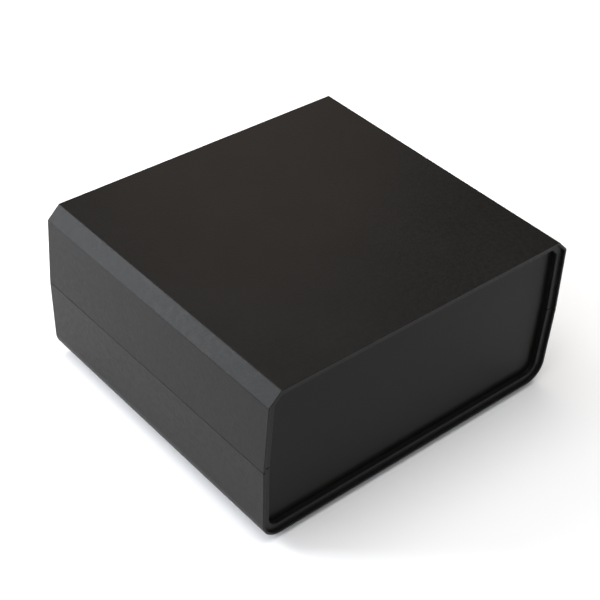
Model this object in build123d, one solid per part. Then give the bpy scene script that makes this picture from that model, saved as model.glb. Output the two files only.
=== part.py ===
from build123d import *
from math import sqrt
import os

# Moulded instrument case: two shells, two slide-in end panels, screws, inserts and feet.
# Millimetres, +Z up, front towards -Y, +X to the right as seen from the front.
# The origin is on the standing surface, under the middle of the case.
# Each shell is described by its height above or below the parting plane, where the two meet.

# Overall size
case_width = 150.0        # across the parting plane, where the case is widest
case_depth = 133.2        # from the front rim to the rear rim
shell_height = 35.25      # each shell, from the parting plane to its outer face
foot_height = 3.0         # how far the feet hold the case off the surface

# Outline of the shells, seen from the front
wall = 2.6
side_lean = 0.96          # mould draft: how far each side leans in by its outer corner
roof_bevel = 5.4          # 45 degree flat along each long upper edge
roof_soften = 1.0         # rounding where that flat meets the roof and the side
floor_radius = 8.75       # rounding along each long lower edge
seam_gap = 0.45           # shadow line between the two shells
seam_bevel = 0.12         # small bevel on both sides of the shadow line

# Rim round each end: a thin lip at the front, a step behind it, then the window
rim_lip_width = 1.0       # from the outer face to the inside of the lip
rim_step_depth = 1.35     # from the front of the lip back to the step
rim_width = 3.9           # from the outer face to the window
rim_depth = 3.5           # from the front of the lip back to the slot for the panel
edge_bevel = 0.2          # small bevel on every edge of the rim
window_corner = 0.8       # rounding in the corners of the window under the roof flats

# End panels and the slots that hold them
panel_thickness = 2.0
panel_face_clearance = 0.15
panel_edge_clearance = 0.3
slot_rib_thickness = 2.0
slot_rib_height = 3.0

# Tongue on the lower shell and the step that it enters in the upper one
tongue_thickness = 1.1
tongue_height = 1.5
tongue_clearance = 0.3

# Screws, one near each corner, put in from below
screw_spacing_x = 120.0
screw_spacing_y = 80.0
screw_diameter = 3.0
screw_length = 16.0
screw_hole_clearance = 0.2
screw_head_diameter = 5.6
screw_head_height = 2.2
screw_head_clearance = 0.5
screw_head_round = 0.5
cross_width = 0.8
cross_length = 2.9
cross_depth = 1.3
shoulder_thickness = 9.0
boss_wall = 1.9
gusset_thickness = 2.0
gusset_seam_relief = 3.0

# Threaded inserts in the upper bosses
insert_length = 6.0
insert_wall = 0.85
insert_bore_clearance = 0.05
insert_setback = 0.5
boss_hole_beyond_insert = 5.0

# Feet
foot_spacing_x = 112.0
foot_spacing_y = 104.0
foot_diameter = 12.0
foot_round = 0.9
foot_stem_diameter = 4.0
foot_stem_clearance = 0.05
foot_stem_beyond_floor = 2.0
foot_barb_diameter = 4.8
foot_barb_height = 1.2

# Posts for a circuit board
board_spacing_x = 90.0
board_spacing_y = 70.0
board_post_height = 6.0
board_post_wall = 2.0
board_hole_diameter = 2.5
board_hole_depth = 6.5

# Worked out from the sizes above
seam_z = foot_height + shell_height
front_y = -case_depth / 2
panel_front_y = front_y + rim_depth + panel_face_clearance
slot_width = panel_thickness + 2 * panel_face_clearance
slot_rib_y = front_y + rim_depth + slot_width
shoulder_z = seam_z - shoulder_thickness
boss_bore_radius = screw_head_diameter / 2 + screw_head_clearance
boss_radius = boss_bore_radius + boss_wall
insert_bore_radius = screw_diameter / 2 + insert_bore_clearance
insert_radius = insert_bore_radius + insert_wall
insert_z = seam_z + insert_setback
cut_margin = 5.0          # how far a cutting shape runs past what it cuts

UPPER = 1
LOWER = -1


def corner_height(side):
    """Height from the parting plane at which a shell's side ends and its corner begins."""
    corner = roof_bevel if side == UPPER else floor_radius
    return shell_height - corner


def side_x(side, height, inset):
    """Half width of a shell at a height, standing in by inset from its outer face."""
    lean = side_lean / corner_height(side)
    return case_width / 2 - lean * height - inset


def corner_points(side, inset):
    """Right-hand corners of a shell's outline, from the side to the roof or floor."""
    top = shell_height - inset
    if side == LOWER:
        return [(side_x(side, top, inset), top)]
    lean = side_lean / corner_height(side)
    flat = case_width / 2 - side_lean - roof_bevel + shell_height - sqrt(2) * inset
    start = (flat - side_x(side, 0, inset)) / (1 - lean)
    return [(side_x(side, start, inset), start), (flat - top, top)]


def half_face(side, inset, rounding, below=0.0):
    """Outline of one shell as a face: side, corner, roof or floor, corner, side.

    It runs past the parting plane by below, so that it can also be used to cut.
    """
    right = [(side_x(side, -below, inset), -below)] + corner_points(side, inset)
    left = [(-x, height) for x, height in reversed(right)]
    points = [(x, seam_z + side * height) for x, height in right + left]
    face = Plane.XZ * make_face(Polyline(*points, close=True))
    outer = [v for v in face.vertices() if side * (v.Z - seam_z) > 0]
    return fillet(outer, rounding)


def outer_rounding(side, inset=0.0):
    """Rounding of a shell's corners at a distance in from its outer face."""
    if side == LOWER:
        return max(floor_radius - inset, window_corner)
    return roof_soften if inset == 0 else window_corner


def slab(face, y_from, y_to):
    """A face in the XZ plane made into a solid between two distances along Y."""
    solid = extrude(face, amount=y_to - y_from, dir=(0, 1, 0))
    return solid.moved(Location((0, y_from, 0)))


def both_ends(solid):
    """A solid near the front end, and its mirror image near the rear end."""
    return solid, mirror(solid, about=Plane.XZ)


def upright(radius, z_from, z_to, x, y):
    """A cylinder standing between two heights."""
    base = Location((x, y, z_from))
    return base * Cylinder(radius, z_to - z_from, align=(Align.CENTER, Align.CENTER, Align.MIN))


def grid(spacing_x, spacing_y):
    """Four places round the middle of the case, named by corner."""
    return {
        f"{end}_{hand}": (x * spacing_x / 2, y * spacing_y / 2)
        for end, y in (("front", -1), ("rear", 1))
        for hand, x in (("left", -1), ("right", 1))
    }


def bevelled_end(side):
    """Front end of a shell's block, with a small bevel round its outer edge."""
    wide = half_face(side, 0, outer_rounding(side))
    narrow = half_face(side, edge_bevel, outer_rounding(side, edge_bevel))
    back = wide.moved(Location((0, front_y + edge_bevel, 0)))
    front = narrow.moved(Location((0, front_y, 0)))
    return loft([back.face(), front.face()], ruled=True)


def shell_blank(side):
    """Solid block in the shell's outer shape, with its bevelled ends and seam bevel."""
    face = half_face(side, 0, outer_rounding(side))
    block = slab(face, front_y + edge_bevel, -front_y - edge_bevel)
    seam = [
        e for e in block.edges()
        if abs(e.center().Z - seam_z) < 1e-6 and abs(abs(e.center().X) - case_width / 2) < 1e-3
    ]
    block = chamfer(seam, seam_bevel)
    for end in both_ends(bevelled_end(side)):
        block += end
    return block


def opening(side):
    """What is cut from the front end to leave the rim: the step and the window, both bevelled."""
    steps = ((rim_lip_width, 0, rim_step_depth), (rim_width, rim_step_depth, rim_depth))
    for inset, start, stop in steps:
        wide = half_face(side, inset - edge_bevel, outer_rounding(side, inset), cut_margin)
        narrow = half_face(side, inset, outer_rounding(side, inset), cut_margin)
        mouth = wide.moved(Location((0, front_y + start, 0)))
        throat = narrow.moved(Location((0, front_y + start + edge_bevel, 0)))
        yield loft([mouth.face(), throat.face()], ruled=True)
        yield slab(narrow, front_y + start + edge_bevel, front_y + stop)


def shell_body(side):
    """Hollow shell: walls, a stepped rim at each end, and a rib behind each panel."""
    shell = shell_blank(side)
    for cut in opening(side):
        for end in both_ends(cut):
            shell -= end
    cavity = half_face(side, wall, outer_rounding(side, wall), cut_margin)
    shell -= slab(cavity, front_y + rim_depth, -front_y - rim_depth)
    rib_face = half_face(side, wall / 2, outer_rounding(side, wall / 2))
    rib_inset = wall + slot_rib_height
    rib_face -= half_face(side, rib_inset, outer_rounding(side, rib_inset), cut_margin)
    for rib in both_ends(slab(rib_face, slot_rib_y, slot_rib_y + slot_rib_thickness)):
        shell += rib
    return shell


def gusset(side, x, y):
    """Plate that ties a boss to the side wall next to it."""
    hand = 1 if x > 0 else -1
    low = gusset_seam_relief
    high = shell_height - wall / 2
    points = [
        (x, low),
        (hand * side_x(side, low, wall / 2), low),
        (hand * side_x(side, corner_height(side), wall / 2), corner_height(side)),
        (hand * (side_x(side, high, wall / 2) - shell_height + corner_height(side)), high),
        (x, high),
    ]
    face = Plane.XZ * make_face(Polyline(*[(px, seam_z + side * h) for px, h in points], close=True))
    return slab(face, y - gusset_thickness / 2, y + gusset_thickness / 2)


def lower_shell():
    """Floor, sides and lower half of both rims, with bosses, board posts and foot holes."""
    shell = shell_body(LOWER)
    floor_z = foot_height + wall
    for x, y in grid(screw_spacing_x, screw_spacing_y).values():
        shell += gusset(LOWER, x, y)
        shell += upright(boss_radius, foot_height + wall / 2, seam_z, x, y)
    for x, y in grid(board_spacing_x, board_spacing_y).values():
        post_radius = board_hole_diameter / 2 + board_post_wall
        shell += upright(post_radius, floor_z - wall / 2, floor_z + board_post_height, x, y)
    for x, y in grid(screw_spacing_x, screw_spacing_y).values():
        shell -= upright(boss_bore_radius, foot_height - cut_margin, shoulder_z, x, y)
        hole_radius = screw_diameter / 2 + screw_hole_clearance
        shell -= upright(hole_radius, shoulder_z - cut_margin, seam_z + cut_margin, x, y)
    for x, y in grid(board_spacing_x, board_spacing_y).values():
        post_top = floor_z + board_post_height
        shell -= upright(board_hole_diameter / 2, post_top - board_hole_depth, post_top + cut_margin, x, y)
    for x, y in grid(foot_spacing_x, foot_spacing_y).values():
        shell -= upright(foot_stem_diameter / 2, foot_height - cut_margin, floor_z + cut_margin, x, y)
    for tongue in tongues():
        shell += tongue
    return shell


def tongue_span():
    """Half length of the tongues, which stop short of the slot ribs."""
    return -(slot_rib_y + slot_rib_thickness) - 2 * tongue_clearance


def tongues():
    """Strip along the inner half of each side wall, standing up past the parting plane."""
    inner_x = side_x(LOWER, 0, wall)
    for hand in (-1, 1):
        x = hand * (inner_x + tongue_thickness / 2)
        base = seam_z - wall
        size = (tongue_thickness, 2 * tongue_span(), tongue_height + wall)
        strip = Box(*size, align=(Align.CENTER, Align.CENTER, Align.MIN))
        yield Location((x, 0, base)) * strip


def upper_shell():
    """Roof, sides and upper half of both rims, with the bosses that hold the inserts."""
    shell = shell_body(UPPER)
    roof_inside_z = seam_z + shell_height - wall / 2
    for x, y in grid(screw_spacing_x, screw_spacing_y).values():
        shell += gusset(UPPER, x, y)
        shell += upright(boss_radius, seam_z, roof_inside_z, x, y)
    for x, y in grid(screw_spacing_x, screw_spacing_y).values():
        shell -= upright(insert_radius, seam_z - cut_margin, insert_z + insert_length, x, y)
        hole_top = insert_z + insert_length + boss_hole_beyond_insert
        shell -= upright(insert_bore_radius, seam_z, hole_top, x, y)
    step_x = side_x(LOWER, 0, wall) + tongue_thickness + tongue_clearance
    step = Box(
        2 * step_x,
        2 * (tongue_span() + tongue_clearance),
        tongue_height + tongue_clearance,
        align=(Align.CENTER, Align.CENTER, Align.MIN),
    )
    for x, y in grid(screw_spacing_x, screw_spacing_y).values():
        step -= upright(boss_radius, -cut_margin, 2 * cut_margin, x, y)
    shell -= Location((0, 0, seam_z)) * step
    return shell - seam_relief()


def seam_relief():
    """Thin layer taken off the upper shell's parting face everywhere but at the bosses."""
    layer = Box(
        case_width + 2 * cut_margin,
        case_depth + 2 * cut_margin,
        seam_gap,
        align=(Align.CENTER, Align.CENTER, Align.MIN),
    )
    for x, y in grid(screw_spacing_x, screw_spacing_y).values():
        layer -= upright(boss_radius, -cut_margin, cut_margin, x, y)
    return Location((0, 0, seam_z)) * layer


def end_panel():
    """Front panel: a plate in the shape of the case's inside, less its clearance."""
    inset = wall + panel_edge_clearance
    upper = half_face(UPPER, inset, window_corner)
    lower = half_face(LOWER, inset, outer_rounding(LOWER, inset))
    return slab(upper + lower, panel_front_y, panel_front_y + panel_thickness)


def case_screw(x, y):
    """Pan head machine screw with a cross recess, head down, seated on the boss shoulder."""
    head = upright(screw_head_diameter / 2, shoulder_z - screw_head_height, shoulder_z, x, y)
    face = head.faces().sort_by(Axis.Z)[0]
    head = fillet(face.edges(), screw_head_round)
    shank = upright(screw_diameter / 2, shoulder_z - screw_head_height / 2, shoulder_z + screw_length, x, y)
    tip = shank.faces().sort_by(Axis.Z)[-1]
    shank = chamfer(tip.edges(), screw_diameter / 8)
    screw = head + shank
    for size in ((cross_length, cross_width), (cross_width, cross_length)):
        slot = Box(*size, cross_depth + cut_margin, align=(Align.CENTER, Align.CENTER, Align.MAX))
        screw -= Location((x, y, shoulder_z - screw_head_height + cross_depth)) * slot
    return screw


def insert(x, y):
    """Threaded brass insert, plain bored at the screw's outer diameter plus its clearance."""
    body = upright(insert_radius, insert_z, insert_z + insert_length, x, y)
    return body - upright(insert_bore_radius, insert_z - cut_margin, insert_z + insert_length + cut_margin, x, y)


def foot(x, y):
    """Rubber foot: a disc under the floor and a stem through it with a barb on its end."""
    disc = upright(foot_diameter / 2, 0, foot_height, x, y)
    disc = fillet(disc.faces().sort_by(Axis.Z)[0].edges(), foot_round)
    floor_top = foot_height + wall
    stem_radius = foot_stem_diameter / 2 - foot_stem_clearance
    stem_top = floor_top + foot_stem_beyond_floor
    stem = upright(stem_radius, foot_height / 2, stem_top, x, y)
    barb_base = Location((x, y, floor_top))
    barb = barb_base * Cone(
        foot_barb_diameter / 2,
        stem_radius,
        foot_barb_height,
        align=(Align.CENTER, Align.CENTER, Align.MIN),
    )
    return disc + stem + barb


def build():
    """Every piece of the case, by name."""
    front = end_panel()
    pieces = {
        "lower_shell": lower_shell(),
        "upper_shell": upper_shell(),
        "front_panel": front,
        "rear_panel": mirror(front, about=Plane.XZ),
    }
    for corner, (x, y) in grid(screw_spacing_x, screw_spacing_y).items():
        pieces[f"case_screw_{corner}"] = case_screw(x, y)
        pieces[f"insert_{corner}"] = insert(x, y)
    for corner, (x, y) in grid(foot_spacing_x, foot_spacing_y).items():
        pieces[f"foot_{corner}"] = foot(x, y)
    return pieces


os.makedirs("parts", exist_ok=True)
for name, piece in build().items():
    export_step(piece, f"parts/{name}.step")
    print(name, round(piece.volume, 1))
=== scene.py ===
# %% [markdown]
# A moulded instrument case, dressed for a studio picture. The CAD model arrives as a fixed frame of
# two shells, two end panels, four screws, four threaded inserts and four feet. The shells and panels
# already have their true shape, so they keep their CAD meshes and are given a moulded plastic finish.
# The small hardware is only blocked out in the CAD model. Here it is built again with its threads,
# knurls, cross recesses and roundings, and each new piece rides on the body that it belongs to, so the
# case can be taken apart in any pose.

# %% Load the frame
from math import cos, pi, radians, sin, tau

import bpy
import numpy as np
from mathutils import Matrix, Vector


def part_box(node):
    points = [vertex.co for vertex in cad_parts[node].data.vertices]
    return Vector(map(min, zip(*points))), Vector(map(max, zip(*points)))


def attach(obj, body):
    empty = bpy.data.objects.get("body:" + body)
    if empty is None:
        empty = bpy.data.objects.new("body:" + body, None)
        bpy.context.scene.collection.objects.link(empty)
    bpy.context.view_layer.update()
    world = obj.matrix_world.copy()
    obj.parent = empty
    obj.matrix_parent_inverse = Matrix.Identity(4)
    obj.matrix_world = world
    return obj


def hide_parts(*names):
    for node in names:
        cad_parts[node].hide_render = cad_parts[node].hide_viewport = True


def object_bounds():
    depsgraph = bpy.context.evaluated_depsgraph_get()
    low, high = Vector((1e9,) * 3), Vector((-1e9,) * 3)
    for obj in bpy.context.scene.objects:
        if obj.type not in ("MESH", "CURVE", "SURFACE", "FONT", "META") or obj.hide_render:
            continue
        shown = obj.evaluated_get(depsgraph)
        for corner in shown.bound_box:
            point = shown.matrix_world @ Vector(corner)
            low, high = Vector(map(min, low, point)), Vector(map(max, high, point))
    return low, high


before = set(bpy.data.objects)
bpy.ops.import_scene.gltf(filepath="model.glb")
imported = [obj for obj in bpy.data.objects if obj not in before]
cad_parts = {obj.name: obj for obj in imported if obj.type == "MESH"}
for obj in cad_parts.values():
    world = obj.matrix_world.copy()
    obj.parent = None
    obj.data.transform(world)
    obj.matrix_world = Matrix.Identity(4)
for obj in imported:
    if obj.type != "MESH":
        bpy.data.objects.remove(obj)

CAD_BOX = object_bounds()
LOW, HIGH = (Vector(corner) for corner in CAD_BOX)
SIZE = HIGH - LOW
MM = 0.001
CORNERS = ("front_left", "front_right", "rear_left", "rear_right")
print("CAD box", [round(v / MM, 1) for v in SIZE], "mm")

# %% [markdown]
# The camera looks down on the front left corner through a long lens, so that parallel edges stay
# nearly parallel. Its place is given as a direction and a distance, counted in case widths, from a
# point near the middle of the case. The small roll is the tilt of a camera that is held by hand.

# %% Camera
AZIMUTH = radians(-42.67)
ELEVATION = radians(38.57)
ROLL = radians(3.616)
WIDTHS_AWAY = 3.793
LENS_MM = 86.3
AIM_LEFT = 0.0122  # both aims are counted in case widths too
AIM_UP = 0.2254
NEAR_CLIP = 0.01


def camera_axes(azimuth, elevation, roll):
    """Right, up and back directions of a camera, the first two turned about the third by roll."""
    back = Vector((sin(azimuth) * cos(elevation), -cos(azimuth) * cos(elevation), sin(elevation)))
    right = (-back).cross(Vector((0, 0, 1))).normalized()
    up = right.cross(-back)
    return right * cos(roll) + up * sin(roll), up * cos(roll) - right * sin(roll), back


def add_camera(foot_height):
    """A camera at the chosen angle, aimed at a point near the middle of the case."""
    camera = bpy.data.objects.new("studio_camera", bpy.data.cameras.new("studio_camera"))
    bpy.context.scene.collection.objects.link(camera)
    right, up, back = camera_axes(AZIMUTH, ELEVATION, ROLL)
    aim = Vector((-AIM_LEFT * SIZE.x, 0, AIM_UP * SIZE.x + foot_height))
    place = Matrix.Translation(aim + back * WIDTHS_AWAY * SIZE.x)
    camera.matrix_world = place @ Matrix((right, up, back)).transposed().to_4x4()
    camera.data.lens = LENS_MM
    camera.data.clip_start = NEAR_CLIP
    bpy.context.scene.camera = camera
    return camera


FOOT_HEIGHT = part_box("lower_shell")[0].z - LOW.z
CAMERA = add_camera(FOOT_HEIGHT)
print("camera", [round(v, 3) for v in CAMERA.location], "m, foot height", round(FOOT_HEIGHT / MM, 1), "mm")

# %% [markdown]
# The sky and every finish are node trees: small steps, each of which turns numbers or colours into
# others, wired from output to input. Written out, each node takes a line to make it and a line for
# each wire, so a small helper does both at once.

# %% A small helper for node trees
class Tree:
    """Adds nodes to a node tree and links them, in one call for each node."""

    def __init__(self, tree):
        self.tree = tree

    def add(self, kind, inputs=None, **settings):
        """A node of a kind. Inputs are plain values, or sockets of other nodes to link from."""
        node = self.tree.nodes.new("ShaderNode" + kind)
        for name, value in settings.items():
            setattr(node, name, value)
        for key, value in (inputs or {}).items():
            if isinstance(value, bpy.types.NodeSocket):
                self.tree.links.new(value, node.inputs[key])
            else:
                node.inputs[key].default_value = value
        return node

    def math(self, operation, first, second=0.0, clamp=False):
        """The result of one sum, with sockets or numbers for its two terms."""
        node = self.add("Math", {0: first, 1: second}, operation=operation, use_clamp=clamp)
        return node.outputs[0]

    def ramp(self, value, low, high, to_low=0.0, to_high=1.0):
        """A value carried from one range to another, held at its ends."""
        inputs = {"Value": value, "From Min": low, "From Max": high, "To Min": to_low, "To Max": to_high}
        return self.add("MapRange", inputs).outputs["Result"]

    def smooth_step(self, value, low, high):
        """A value carried from 0 at low to 1 at high, with soft ends."""
        inputs = {"Value": value, "From Min": low, "From Max": high}
        return self.add("MapRange", inputs, interpolation_type="SMOOTHSTEP").outputs["Result"]


def mix_colour(t, share, first, second):
    """Colour between two, by a share that changes. Each colour is three numbers or a socket."""
    node = t.add("Mix", {0: share}, data_type="RGBA")
    for index, colour in ((6, first), (7, second)):
        if isinstance(colour, bpy.types.NodeSocket):
            t.tree.links.new(colour, node.inputs[index])
        else:
            node.inputs[index].default_value = (*colour, 1)
    return node.outputs[2]


# %% [markdown]
# Black plastic has hardly any colour of its own. What the eye reads as its tone is the room mirrored
# softly in it, so the lights are chosen for what each face reflects. The pale floor fills the sides
# from below. One soft box behind the left shoulder is mirrored by the bevel along the roof, which
# makes it the lightest stripe on the case. A low one under it is mirrored by the small round between
# bevel and side, which would be a dark line without it. A small warm one low behind the case makes
# the roof fade from back to front, and a large one overhead, a little to the left, lights the paper
# without being mirrored in the roof. The sky is palest near the horizon, as if the paper swept up
# behind the case, and dim only in one patch high behind the right shoulder, which the roof mirrors.

# %% Floor, soft boxes and sky
FLOOR_SIDE = 4.0
FLOOR_ALBEDO = 0.88
SOFT_BOXES = (
    # name, place, side in metres, watts, colour
    ("key_soft_box", (-0.62, 0.60, 0.56), 0.42, 8.6, (0.92, 0.95, 1.0)),
    ("low_soft_box", (-0.69, 0.66, 0.11), 0.20, 2.6, (0.94, 0.96, 1.0)),
    ("large_soft_box", (-0.15, 0.05, 1.60), 1.50, 23.0, (1.0, 0.99, 0.975)),
    ("rear_soft_box", (0.150, 0.225, 0.245), 0.20, 0.10, (1.0, 0.78, 0.62)),
)
LIGHT_AIM = Vector((0, 0, 0.03))
SKY_PALE = (0.58, 0.59, 0.61)
SKY_LOW = (1.00, 1.00, 1.02)
SKY_LOW_TOP = 0.34  # sine of the elevation where the glow along the horizon has faded out
SKY_DIM = (0.13, 0.12, 0.11)
DIM_TOWARDS = (0.53, 0.575, 0.62)
DIM_EDGE = 0.62  # cosine of the angle from the middle of the dim patch to its outer edge
DIM_CORE = 0.90  # the same for the inner part that is fully dim
PAPER_ROUGHNESS = 0.9


def add_floor():
    """A wide sheet of pale paper that the case stands on."""
    half = FLOOR_SIDE / 2
    corners = [(-half, -half, LOW.z), (half, -half, LOW.z), (half, half, LOW.z), (-half, half, LOW.z)]
    mesh = bpy.data.meshes.new("studio_floor")
    mesh.from_pydata(corners, [], [(0, 1, 2, 3)])
    floor = bpy.data.objects.new("studio_floor", mesh)
    bpy.context.scene.collection.objects.link(floor)
    paper = bpy.data.materials.new("studio_paper")
    paper.use_nodes = True
    shader = paper.node_tree.nodes["Principled BSDF"]
    shader.inputs["Base Color"].default_value = (FLOOR_ALBEDO, FLOOR_ALBEDO, FLOOR_ALBEDO, 1)
    shader.inputs["Roughness"].default_value = PAPER_ROUGHNESS
    mesh.materials.append(paper)


def add_soft_box(name, place, side, watts, colour):
    """A square area light turned towards the case."""
    data = bpy.data.lights.new(name, "AREA")
    data.shape = "SQUARE"
    data.size = side
    data.energy = watts
    data.color = colour
    lamp = bpy.data.objects.new(name, data)
    lamp.location = place
    lamp.rotation_euler = (LIGHT_AIM - Vector(place)).to_track_quat("-Z", "Y").to_euler()
    bpy.context.scene.collection.objects.link(lamp)


def add_sky():
    """A sky whose colour follows how high a direction points and how far it leans from the dim patch."""
    world = bpy.data.worlds.new("studio_sky")
    bpy.context.scene.world = world
    world.use_nodes = True
    t = Tree(world.node_tree)
    direction = t.add("TexCoord").outputs["Generated"]
    height = t.add("SeparateXYZ", {"Vector": direction}).outputs["Z"]
    towards = t.add("VectorMath", {0: direction, 1: DIM_TOWARDS}, operation="DOT_PRODUCT").outputs["Value"]
    pale = mix_colour(t, t.smooth_step(height, 0.0, SKY_LOW_TOP), SKY_LOW, SKY_PALE)
    sky = mix_colour(t, t.smooth_step(towards, DIM_EDGE, DIM_CORE), pale, SKY_DIM)
    t.tree.links.new(sky, world.node_tree.nodes["Background"].inputs["Color"])


add_floor()
for soft_box in SOFT_BOXES:
    add_soft_box(*soft_box)
add_sky()
bpy.context.scene.view_settings.view_transform = "Standard"
print("soft boxes", [soft_box[0] for soft_box in SOFT_BOXES])

# %% [markdown]
# Moulded plastic, cut steel and rubber all need the same few effects: a fine grain that catches the
# light, broad soft changes of tone where hands and dust have been, and edges that are rubbed a little
# brighter. Each effect is made once as a node group with named inputs, and every material places it
# with its own values.

# %% An empty node group
def new_group(name, inputs, outputs):
    """An empty node group with named float inputs and outputs, and its helper."""
    tree = bpy.data.node_groups.new(name, "ShaderNodeTree")
    for label, value in inputs.items():
        kind = "NodeSocketVector" if value is None else "NodeSocketFloat"
        socket = tree.interface.new_socket(name=label, in_out="INPUT", socket_type=kind)
        if value is not None:
            socket.default_value = value
    for label in outputs:
        tree.interface.new_socket(name=label, in_out="OUTPUT", socket_type="NodeSocketFloat")
    source = tree.nodes.new("NodeGroupInput").outputs
    sink = tree.nodes.new("NodeGroupOutput").inputs
    return tree, Tree(tree), source, sink


# %% [markdown]
# The moulds for such cases are spark eroded: the steel is burnt to an even field of small craters,
# and the plastic comes out with the opposite, low rounded pimples of a bit under a millimetre. Rounded
# cells of a Voronoi pattern give the pimples, and a finer noise breaks up their order. A slow noise
# gives a blotchy mask, because the burn is never quite even.

# %% Spark-eroded grain
FINE_PER_CELL = 2.7
FINE_HEIGHT = 0.6


def build_grain():
    """Height of the moulded grain, from cells and a finer noise, and a mask from a slow noise."""
    inputs = {"Vector": None, "Cell mm": 0.6, "Blotch mm": 4.0}
    tree, t, source, sink = new_group("spark_eroded_grain", inputs, ("Height", "Blotch"))
    per_cell = t.math("DIVIDE", 1 / MM, source["Cell mm"])
    per_fine = t.math("MULTIPLY", per_cell, FINE_PER_CELL)
    per_blotch = t.math("DIVIDE", 1 / MM, source["Blotch mm"])
    cells = t.add(
        "TexVoronoi",
        {"Vector": source["Vector"], "Scale": per_cell, "Smoothness": 0.8},
        feature="SMOOTH_F1",
    )
    fine = t.add("TexNoise", {"Vector": source["Vector"], "Scale": per_fine, "Detail": 2.0})
    broad = t.add("TexNoise", {"Vector": source["Vector"], "Scale": per_blotch, "Detail": 3.0})
    pimples = t.math("SUBTRACT", 1.0, cells.outputs["Distance"])
    rough = t.math("MULTIPLY", fine.outputs[0], FINE_HEIGHT)
    tree.links.new(t.math("ADD", pimples, rough), sink["Height"])
    tree.links.new(t.ramp(broad.outputs[0], 0.35, 0.65), sink["Blotch"])
    return tree


GRAIN = build_grain()

# %% [markdown]
# An edge is where the surface turns within a short distance. The Bevel node gives the direction that
# the surface would have with its edges rounded off, so the more that differs from the true direction,
# the nearer the edge. A noise thins the rubbed band out, because hands and shelves don't wear it evenly.

# %% Rubbed edges
EDGE_BEGINS = 0.98  # cosine of the lean between the two directions where wear begins
EDGE_FULL = 0.80


def build_edge_wear():
    """Mask of the worn edges: how far a rounded normal leans from the true one, thinned by noise."""
    inputs = {"Vector": None, "Radius": 0.4 * MM, "Patch mm": 6.0, "Amount": 1.0}
    tree, t, source, sink = new_group("rubbed_edges", inputs, ("Mask",))
    rounded = t.add("Bevel", {"Radius": source["Radius"]}, samples=6)
    flat = t.add("NewGeometry")
    facing = t.add(
        "VectorMath",
        {0: rounded.outputs["Normal"], 1: flat.outputs["True Normal"]},
        operation="DOT_PRODUCT",
    ).outputs["Value"]
    edge = t.ramp(facing, EDGE_BEGINS, EDGE_FULL)
    per_patch = t.math("DIVIDE", 1 / MM, source["Patch mm"])
    noise = t.add("TexNoise", {"Vector": source["Vector"], "Scale": per_patch, "Detail": 4.0})
    patchy = t.ramp(noise.outputs[0], 0.38, 0.62, 0.25, 1.0)
    worn = t.math("MULTIPLY", t.math("MULTIPLY", edge, patchy), source["Amount"], clamp=True)
    tree.links.new(worn, sink["Mask"])
    return tree


EDGE_WEAR = build_edge_wear()

# %% [markdown]
# Dust settles on what faces up and is wiped off unevenly. It is a thin grey film, so it lightens the
# colour and dulls the gloss. Handling leaves the opposite: long faint streaks that are a touch smoother.
# On black plastic they stay very faint, or the roof would look like brushed metal in a low light.

# %% Dust and handling
STREAK_TURN = (0.2, 0.3, 0.6)
STREAK_STRETCH = (1, 9, 5)


def build_dust():
    """Dust mask from how far a face looks up and a broad noise, and streaks from a stretched noise."""
    inputs = {"Vector": None, "Patch mm": 30.0}
    tree, t, source, sink = new_group("dust_and_handling", inputs, ("Dust", "Streaks"))
    facing = t.add("SeparateXYZ", {0: t.add("NewGeometry").outputs["Normal"]})
    upward = t.ramp(facing.outputs["Z"], 0.2, 1.0)
    per_patch = t.math("DIVIDE", 1 / MM, source["Patch mm"])
    broad = t.add("TexNoise", {"Vector": source["Vector"], "Scale": per_patch, "Detail": 5.0})
    settled = t.ramp(broad.outputs[0], 0.40, 0.70)
    lie = {"Vector": source["Vector"], "Rotation": STREAK_TURN, "Scale": STREAK_STRETCH}
    stretch = t.add("Mapping", lie)
    streaks = t.add("TexNoise", {"Vector": stretch.outputs[0], "Scale": per_patch, "Detail": 4.0})
    tree.links.new(t.math("MULTIPLY", upward, settled), sink["Dust"])
    tree.links.new(t.ramp(streaks.outputs[0], 0.45, 0.75), sink["Streaks"])
    return tree


DUST = build_dust()
print("node groups", [tree.name for tree in (GRAIN, EDGE_WEAR, DUST)])

# %% [markdown]
# One function lays out the common order of a finish: object coordinates feed the three groups, their
# masks mix the colour and shift the roughness, and the grain becomes a bump. Plastic, steel, brass and
# rubber then differ only in the values they are given.

# %% How a finish is put together
DUST_COLOUR = (0.30, 0.29, 0.27)
DUST_ROUGHNESS = 0.5


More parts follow.
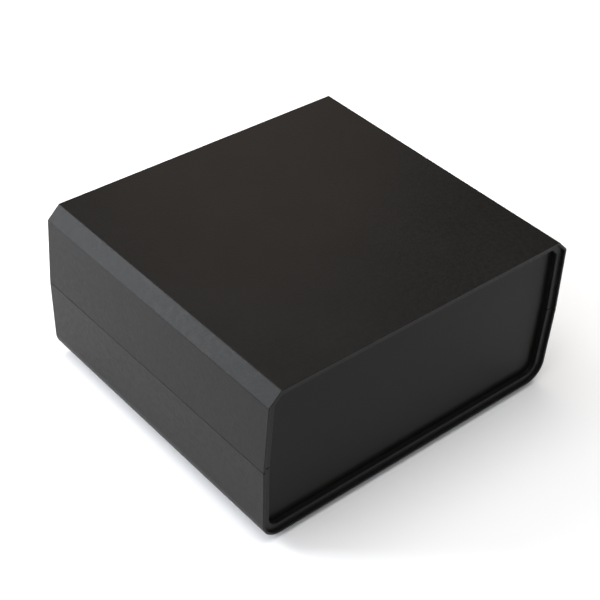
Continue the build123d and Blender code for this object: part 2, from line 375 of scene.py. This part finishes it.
def finish_material(name, finish):
    """A moulded or machined finish, from a table of its values."""
    material = bpy.data.materials.new(name)
    material.use_nodes = True
    t = Tree(material.node_tree)
    shader = material.node_tree.nodes["Principled BSDF"]
    place = t.add("TexCoord").outputs["Object"]

    def effect(group, inputs):
        node = t.add("Group", node_tree=group)
        material.node_tree.links.new(place, node.inputs["Vector"])
        for label, value in inputs.items():
            node.inputs[label].default_value = value
        return node.outputs

    grain = effect(GRAIN, {"Cell mm": finish["cell_mm"], "Blotch mm": finish["blotch_mm"]})
    worn = effect(EDGE_WEAR, {"Radius": finish["edge_mm"] * MM, "Amount": finish["wear"]})["Mask"]
    film = effect(DUST, {"Patch mm": finish["patch_mm"]})
    tone = mix_colour(t, grain["Blotch"], finish["colour"], finish["colour_2"])
    rubbed = mix_colour(t, worn, tone, finish["worn_colour"])
    dust = t.math("MULTIPLY", film["Dust"], finish["dust"])
    colour = mix_colour(t, dust, rubbed, DUST_COLOUR)
    smoothest, roughest = (finish["roughness"] + side * finish["vary"] for side in (-1, 1))
    rough = t.ramp(grain["Blotch"], 0, 1, smoothest, roughest)
    rough = t.math("SUBTRACT", rough, t.math("MULTIPLY", film["Streaks"], finish["streaks"]))
    rough = t.math("SUBTRACT", rough, t.math("MULTIPLY", worn, finish["polish"]))
    rough = t.math("ADD", rough, t.math("MULTIPLY", dust, DUST_ROUGHNESS), clamp=True)
    relief = {"Strength": finish["bump"], "Distance": finish["bump_mm"] * MM, "Height": grain["Height"]}
    normal = t.add("Bump", relief).outputs["Normal"]
    for label, socket in (("Base Color", colour), ("Roughness", rough), ("Normal", normal)):
        material.node_tree.links.new(socket, shader.inputs[label])
    shader.inputs["Metallic"].default_value = finish.get("metallic", 0.0)
    shader.inputs["Specular IOR Level"].default_value = finish.get("specular", 0.5)
    return material


# %% [markdown]
# The shells are black ABS straight from a spark-eroded mould, which is matt and faintly mottled. The
# end panels come from a smoother mould or a sheet, so they are darker and a little glossier. Screws
# are zinc plated steel, the inserts are turned brass, and the feet are moulded rubber, the dullest
# black of them all.

# %% The five finishes
FINISHES = {
    "shell_plastic": dict(
        colour=(0.0042, 0.0040, 0.0038), colour_2=(0.0056, 0.0053, 0.0050),
        worn_colour=(0.028, 0.027, 0.026),
        roughness=0.46, vary=0.03, streaks=0.005, polish=0.05, wear=0.6, dust=0.004, specular=0.17,
        cell_mm=0.90, blotch_mm=1.8, patch_mm=30.0, edge_mm=0.30, bump=0.45, bump_mm=0.06,
    ),
    "panel_plastic": dict(
        colour=(0.0042, 0.0039, 0.0035), colour_2=(0.0054, 0.0050, 0.0045),
        worn_colour=(0.012, 0.011, 0.010),
        roughness=0.33, vary=0.02, streaks=0.005, polish=0.04, wear=0.4, dust=0.0, specular=0.085,
        cell_mm=0.5, blotch_mm=6.0, patch_mm=40.0, edge_mm=0.3, bump=0.18, bump_mm=0.03,
    ),
    "screw_steel": dict(
        colour=(0.52, 0.53, 0.56), colour_2=(0.63, 0.63, 0.64), worn_colour=(0.75, 0.75, 0.76),
        roughness=0.30, vary=0.06, streaks=0.08, polish=0.08, wear=0.6, dust=0.02, metallic=1.0,
        cell_mm=0.12, blotch_mm=0.8, patch_mm=3.0, edge_mm=0.08, bump=0.2, bump_mm=0.01,
    ),
    "insert_brass": dict(
        colour=(0.72, 0.53, 0.24), colour_2=(0.82, 0.64, 0.33), worn_colour=(0.93, 0.78, 0.48),
        roughness=0.27, vary=0.06, streaks=0.06, polish=0.06, wear=0.6, dust=0.0, metallic=1.0,
        cell_mm=0.15, blotch_mm=0.9, patch_mm=3.0, edge_mm=0.08, bump=0.2, bump_mm=0.01,
    ),
    "foot_rubber": dict(
        colour=(0.012, 0.012, 0.012), colour_2=(0.020, 0.019, 0.018), worn_colour=(0.045, 0.043, 0.041),
        roughness=0.72, vary=0.08, streaks=0.05, polish=0.05, wear=0.8, dust=0.05, specular=0.35,
        cell_mm=0.35, blotch_mm=1.6, patch_mm=8.0, edge_mm=0.25, bump=0.4, bump_mm=0.04,
    ),
}
MATERIALS = {name: finish_material(name, finish) for name, finish in FINISHES.items()}
print("finishes", sorted(MATERIALS))

# %% [markdown]
# The shells and panels already have their true shape, so their objects keep the CAD meshes and only
# the material in their first slot is changed. A copy of the mesh would follow the joints just as well,
# but it could drift from the model when a size is changed.

# %% Finish on the shells and panels
for node, slot in (
    ("lower_shell", "shell_plastic"),
    ("upper_shell", "shell_plastic"),
    ("front_panel", "panel_plastic"),
    ("rear_panel", "panel_plastic"),
):
    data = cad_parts[node].data
    data.materials.clear()
    data.materials.append(MATERIALS[slot])
    print(node, "wears", slot, "on", len(data.polygons), "faces")

# %% [markdown]
# Every small piece of this case was turned, rolled or moulded round an axis, so one kind of surface
# serves them all: a grid of rings, where each ring holds the same number of points. A profile gives
# each ring its radius and height, and may change round the ring, which is how a thread, a knurl or a
# cross recess is cut into it. The grid is closed round the ring, and its first and last rings close
# to a pole or onto each other.

# %% Rings into a mesh
def ring_angles(count):
    """Angles evenly spread round a ring."""
    return np.arange(count) * tau / count


def signed_volume(points, faces):
    """Six times the volume inside a closed mesh, negative when its faces point inwards."""
    corner = points[faces]
    return np.einsum("ij,ij->i", corner[:, 0], np.cross(corner[:, 1], corner[:, 2])).sum()


def ring_faces(rows, columns, loop):
    """Two triangles for each cell of a grid, closed round its columns, and round its rows if loop."""
    bands = rows if loop else rows - 1
    row, column = np.meshgrid(np.arange(bands), np.arange(columns), indexing="ij")
    here = row * columns + column
    right = row * columns + (column + 1) % columns
    above = (here + columns) % (rows * columns)
    diagonal = (right + columns) % (rows * columns)
    lower = np.stack([here, right, diagonal], -1).reshape(-1, 3)
    upper = np.stack([here, diagonal, above], -1).reshape(-1, 3)
    return np.concatenate([lower, upper])


def pole_faces(first, columns, pole):
    """A fan of triangles from one ring to a pole."""
    column = np.arange(columns)
    return np.stack([first + (column + 1) % columns, first + column, np.full(columns, pole)], -1)


def rings_to_mesh(name, radius, height, angle, centre, loop=False):
    """Closed mesh from rings: point (i, j) is at radius[i, j] and height[i, j], towards angle[j]."""
    rows, columns = radius.shape
    x = centre[0] + radius * np.cos(angle)
    y = centre[1] + radius * np.sin(angle)
    points = np.stack([x, y, height], -1).reshape(-1, 3)
    faces = ring_faces(rows, columns, loop)
    if not loop:
        ends = [(centre[0], centre[1], height[row].mean()) for row in (0, -1)]
        points = np.concatenate([points, ends])
        start = pole_faces(0, columns, rows * columns)
        end = pole_faces((rows - 1) * columns, columns, rows * columns + 1)[:, ::-1]
        faces = np.concatenate([faces, start, end])
    if signed_volume(points, faces) < 0:
        faces = faces[:, ::-1]
    mesh = bpy.data.meshes.new(name)
    mesh.from_pydata(points.tolist(), [], faces.tolist())
    mesh.polygons.foreach_set("use_smooth", np.ones(len(faces), bool))
    mesh.update()
    return mesh


def add_piece(mesh, body, node, slot, sharp_degrees):
    """A finished piece that stands for a CAD node and rides on its body.

    An edge where the surface turns by more than the sharp angle is shaded as a crisp one.
    """
    piece = bpy.data.objects.new(mesh.name, mesh)
    bpy.context.scene.collection.objects.link(piece)
    mesh.set_sharp_from_angle(angle=radians(sharp_degrees))
    mesh.materials.append(MATERIALS[slot])
    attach(piece, body)
    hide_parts(node)
    return piece


def profile(points, per_segment):
    """Radius and height along a drawn profile, with rows evenly spread on each straight part.

    Points are (radius, height) in millimetres. Each corner is kept as a row.
    """
    points = np.asarray(points, float) * MM
    steps = np.arange(per_segment) / per_segment
    runs = points[:-1, None, :] + (points[1:] - points[:-1])[:, None, :] * steps[None, :, None]
    line = np.concatenate([runs.reshape(-1, 2), points[-1:]])
    return line[:, 0], line[:, 1]


def arc(centre, radius, start, stop, count):
    """Points of a circular arc between two angles in degrees, as (radius, height) pairs."""
    turn = np.radians(np.linspace(start, stop, count))
    return [(centre[0] + radius * c, centre[1] + radius * s) for c, s in zip(np.cos(turn), np.sin(turn))]


def place_of(node):
    """Middle of a CAD node seen from above, and its lowest and highest points."""
    low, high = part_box(node)
    return ((low.x + high.x) / 2, (low.y + high.y) / 2), low.z, high.z


# %% [markdown]
# A thread is a groove that climbs one pitch in each turn. On a surface of rings that is a wave along
# the height whose phase falls by one turn as the angle goes round: the radius drops from the crest to
# the root as a rounded triangle of the fractional part of height over pitch less angle over a turn.
# The groove fades in and out at its ends, as a rolled thread does.

# %% Threads
PITCH = 0.5 * MM


def thread_depth(height, angle, low, high, depth, lead):
    """Groove depth of a thread between two heights, which fades over one lead at each end."""
    phase = (height - low) / PITCH - angle / tau
    wave = np.abs((phase % 1.0) * 2 - 1)
    rounded = wave * wave * (3 - 2 * wave)
    fade = np.clip(np.minimum(height - low, high - height) / lead, 0, 1)
    return depth * rounded * fade


# %% [markdown]
# Each case screw is an M3 pan head with a cross recess. The whole screw is one closed surface. It
# starts at the floor of the recess, climbs its tapered walls, crosses the rounded head, turns under it
# and runs up the thread to the chamfered tip. The outline of the cross is a radius that depends on the
# angle: folded into an eighth of a turn, it is the arm's end near its middle line, and the arm's side
# beyond that.

# %% Case screws
SCREW_COLUMNS = 96
HEAD_HEIGHT = 2.2 * MM
HEAD_EDGE = 0.55 * MM
HEAD_BULGE = 0.22 * MM
HEAD_UNDER_EDGE = 0.12 * MM
NECK_ROUND = 0.25 * MM
NECK_LENGTH = 1.2 * MM
FIRST_ROW = 0.30 * MM  # from the seat up to the first row of the shank
LAST_ROW = 0.02 * MM  # from the last row of the shank up to the tip
SHANK_RADIUS = 1.5 * MM
TIP_CHAMFER = 0.30  # share of the shank's radius
TIP_FACE = 0.35  # share of the shank's radius
CROSS_DEPTH = 1.3 * MM
CROSS_LENGTH = 1.45 * MM
CROSS_HALF_WIDTH = 0.40 * MM
CROSS_TAPER = 0.72  # width of the recess floor, as a share of its mouth
FLOOR_ROWS = (0.25, 0.6, 0.95, 1.0)  # how far out the rings on the recess floor lie
WALL_ROWS = 5
FACE_ROWS = 9
TINY = 1e-6  # keeps the arm's side finite along the arm's middle line
THREAD_DEPTH = 0.30 * MM
ROWS_PER_PITCH = 8


def cross_outline(angle):
    """Radius of the cross at an angle: its arm's end or its arm's side, whichever is nearer."""
    folded = np.abs((angle + pi / 4) % (pi / 2) - pi / 4)
    end = CROSS_LENGTH / np.cos(folded)
    side = CROSS_HALF_WIDTH / np.maximum(np.sin(folded), TINY)
    return np.minimum(end, side)


def head_rings(angle, radius, low):
    """Rings from the recess floor to the outer edge of the head, whose face bulges downwards."""
    outline = cross_outline(angle)[None, :]
    floor_share = np.array(FLOOR_ROWS)[:, None] * CROSS_TAPER
    wall_share = np.linspace(CROSS_TAPER, 1.0, WALL_ROWS)[1:, None]
    wall_rise = np.linspace(CROSS_DEPTH, 0.0, WALL_ROWS)[1:, None]
    out = np.linspace(0, 1, FACE_ROWS)[1:, None]
    top_radius = radius - HEAD_EDGE
    face = outline + (top_radius - outline) * out
    rings = [outline * floor_share, outline * wall_share, face]
    heights = [
        np.full(rings[0].shape, low + CROSS_DEPTH),
        low + wall_rise + HEAD_BULGE * (rings[1] / top_radius) ** 2,
        low + HEAD_BULGE * (face / top_radius) ** 2,
    ]
    turn = np.radians(np.linspace(0, 90, FACE_ROWS))[1:, None]
    rings.append(top_radius + HEAD_EDGE * np.sin(turn) + 0 * outline)
    heights.append(low + HEAD_BULGE + HEAD_EDGE * (1 - np.cos(turn)) + 0 * outline)
    return np.concatenate(rings), np.concatenate(heights)


def shank_rings(angle, head_radius, low, high):
    """Rings from under the head, along the thread, to the chamfered tip."""
    seat = low + HEAD_HEIGHT
    under = np.array([head_radius, head_radius - HEAD_UNDER_EDGE, SHANK_RADIUS + NECK_ROUND, SHANK_RADIUS])
    under_height = np.array([seat - HEAD_UNDER_EDGE, seat, seat, seat + NECK_ROUND])
    rows = int((high - seat) / PITCH * ROWS_PER_PITCH)
    along = np.linspace(seat + FIRST_ROW, high - LAST_ROW, rows)[:, None]
    chamfer = np.clip(SHANK_RADIUS * TIP_CHAMFER - (high - along), 0, None)
    groove = thread_depth(along, angle[None, :], seat + NECK_LENGTH, high + PITCH, THREAD_DEPTH, PITCH)
    groove = groove * np.clip((high - along) / PITCH, 0, 1)
    round_the_axis = 0 * angle[None, :]
    tip = np.full((1, len(angle)), SHANK_RADIUS * TIP_FACE)
    rings = np.concatenate([under[:, None] + round_the_axis, SHANK_RADIUS - chamfer - groove, tip])
    heights = np.concatenate([under_height[:, None], along, np.array([[high]])]) + round_the_axis
    return rings, heights


def case_screw(corner):
    """One screw, in the place and size of its CAD node."""
    node = "case_screw_" + corner
    centre, low, high = place_of(node)
    head_radius = (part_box(node)[1].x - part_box(node)[0].x) / 2
    angle = ring_angles(SCREW_COLUMNS)
    head, head_height = head_rings(angle, head_radius, low)
    shank, shank_height = shank_rings(angle, head_radius, low, high)
    radius = np.concatenate([head, shank])
    height = np.concatenate([head_height, shank_height])
    mesh = rings_to_mesh("screw_" + corner, radius, height, angle, centre)
    return add_piece(mesh, "screw_" + corner, node, "screw_steel", sharp_degrees=40)


SCREWS = [case_screw(corner) for corner in CORNERS]
print("screws", len(SCREWS), "of", len(SCREWS[0].data.polygons), "faces")

# %% [markdown]
# The brass inserts are pressed hot into the upper bosses. Two diamond knurled bands bite into the
# plastic, a groove between them stops the insert from being pulled out, and a thread runs through the
# bore. The surface is a closed loop: up the outside, across the top, down the thread and back across
# the bottom. A diamond knurl is the higher of two families of ridges that climb in opposite directions.

# %% Threaded inserts
INSERT_COLUMNS = 144
INSERT_WALL = 0.85 * MM
KNURL_RIDGES = 36
KNURL_DEPTH = 0.16 * MM
KNURL_CLIMB = 0.55 * MM
BAND_GROOVE = 0.30 * MM
GROOVE_SHARE = 0.09  # half the groove's height, as a share of the insert's
GROOVE_STEEPNESS = 3
END_CUT = 0.15 * MM
END_SHARE = 0.05
BORE_CHAMFER = 0.22 * MM
OUTSIDE_ROWS = 61
BORE_ROWS = 73


def knurl(height, angle, low, high):
    """Depth below the knurl's crests: zero on the ridges, most in the diamonds between them."""
    climb = height / KNURL_CLIMB
    left = np.abs(np.sin(KNURL_RIDGES / 2 * angle + climb))
    right = np.abs(np.sin(KNURL_RIDGES / 2 * angle - climb))
    diamonds = KNURL_DEPTH * (1 - np.maximum(left, right) ** 2) * 2
    share = (height - low) / (high - low)
    groove = np.clip((1 - np.abs(share - 0.5) / GROOVE_SHARE) * GROOVE_STEEPNESS, 0, 1)
    ends = np.clip(1 - np.minimum(share, 1 - share) / END_SHARE, 0, 1)
    plain = np.maximum(groove, ends)
    return diamonds * (1 - plain) + BAND_GROOVE * groove + END_CUT * ends


def threaded_insert(corner):
    """One insert, in the place and size of its CAD node."""
    node = "insert_" + corner
    centre, low, high = place_of(node)
    outer = (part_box(node)[1].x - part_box(node)[0].x) / 2
    bore = outer - INSERT_WALL
    angle = ring_angles(INSERT_COLUMNS)[None, :]
    up = np.linspace(low, high, OUTSIDE_ROWS)[:, None]
    outside = outer - knurl(up, angle, low, high)
    down = np.linspace(high, low, BORE_ROWS)[:, None]
    flare = np.clip(BORE_CHAMFER - np.minimum(down - low, high - down), 0, None)
    groove = thread_depth(down, angle, low, high, THREAD_DEPTH, PITCH)
    inside = bore + np.maximum(groove, flare)
    radius = np.concatenate([outside, inside])
    height = np.concatenate([up, down]) + 0 * angle
    mesh = rings_to_mesh("threaded_insert_" + corner, radius, height, angle[0], centre, loop=True)
    return add_piece(mesh, "upper_case", node, "insert_brass", sharp_degrees=50)


INSERTS = [threaded_insert(corner) for corner in CORNERS]
print("inserts", len(INSERTS), "of", len(INSERTS[0].data.polygons), "faces")

# %% [markdown]
# The feet are moulded rubber. A disc with a rounded lower rim stands on a raised ring, so the foot
# grips like a shallow cup, and a fine parting line runs round its edge where the mould halves met. The
# stem goes up through the floor of the case, and its barb snaps out above it. The profile's values are
# in millimetres, and a few round segments stand for each curve of its outline.

# %% Rubber feet
FOOT_COLUMNS = 96
ROWS_PER_LINE = 2
FOOT_ROUND = 0.9
RING_WIDTH = 1.0
CUP_DEPTH = 0.45
PARTING_HALF_WIDTH = 0.10
PARTING_DEPTH = 0.05
TOP_ROUND = 0.2
STEM_RADIUS = 1.95
STEM_FLARE = 0.15
STEM_ROUND = 0.4
BARB_RADIUS = 2.4
BARB_EDGE = 0.25
BARB_HEIGHT = 1.2
CASE_FLOOR = 2.6
FLOOR_TOP = FOOT_HEIGHT / MM + CASE_FLOOR


def foot_profile(disc_radius, disc_height, stem_top):
    """Profile from the middle of the cup, out over the standing ring, up the side and over the stem."""
    ring = disc_radius - FOOT_ROUND
    inner = ring - RING_WIDTH
    points = [(0.6, CUP_DEPTH), (inner - 0.9, CUP_DEPTH), (inner - 0.5, CUP_DEPTH - 0.12)]
    points += [(inner - 0.2, 0.06), (inner, 0.0)]
    points += arc((ring, FOOT_ROUND), FOOT_ROUND, -90, 0, 8)
    middle = (FOOT_ROUND + disc_height) / 2
    points += [(disc_radius, middle - PARTING_HALF_WIDTH), (disc_radius - PARTING_DEPTH, middle)]
    points += [(disc_radius, middle + PARTING_HALF_WIDTH)]
    points += arc((disc_radius - TOP_ROUND, disc_height - TOP_ROUND), TOP_ROUND, 0, 90, 4)
    points += [(STEM_RADIUS + 0.2, disc_height), (STEM_RADIUS, disc_height + STEM_FLARE)]
    points += [(STEM_RADIUS, FLOOR_TOP), (BARB_RADIUS, FLOOR_TOP + 0.08)]
    points += [(BARB_RADIUS, FLOOR_TOP + BARB_EDGE), (STEM_RADIUS + 0.08, FLOOR_TOP + BARB_HEIGHT)]
    points += [(STEM_RADIUS, FLOOR_TOP + BARB_HEIGHT + 0.1)]
    points += arc((STEM_RADIUS - STEM_ROUND, stem_top - STEM_ROUND), STEM_ROUND, 0, 80, 5)
    return points


def rubber_foot(corner):
    """One foot, in the place and size of its CAD node."""
    node = "foot_" + corner
    centre, low, high = place_of(node)
    disc = (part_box(node)[1].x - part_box(node)[0].x) / 2 / MM
    outline = foot_profile(disc, FOOT_HEIGHT / MM, (high - low) / MM)
    line_radius, line_height = profile(outline, ROWS_PER_LINE)
    angle = ring_angles(FOOT_COLUMNS)
    radius = line_radius[:, None] + 0 * angle[None, :]
    height = low + line_height[:, None] + 0 * angle[None, :]
    mesh = rings_to_mesh("rubber_foot_" + corner, radius, height, angle, centre)
    return add_piece(mesh, "lower_case", node, "foot_rubber", sharp_degrees=50)


FEET = [rubber_foot(corner) for corner in CORNERS]
print("feet", len(FEET), "of", len(FEET[0].data.polygons), "faces")
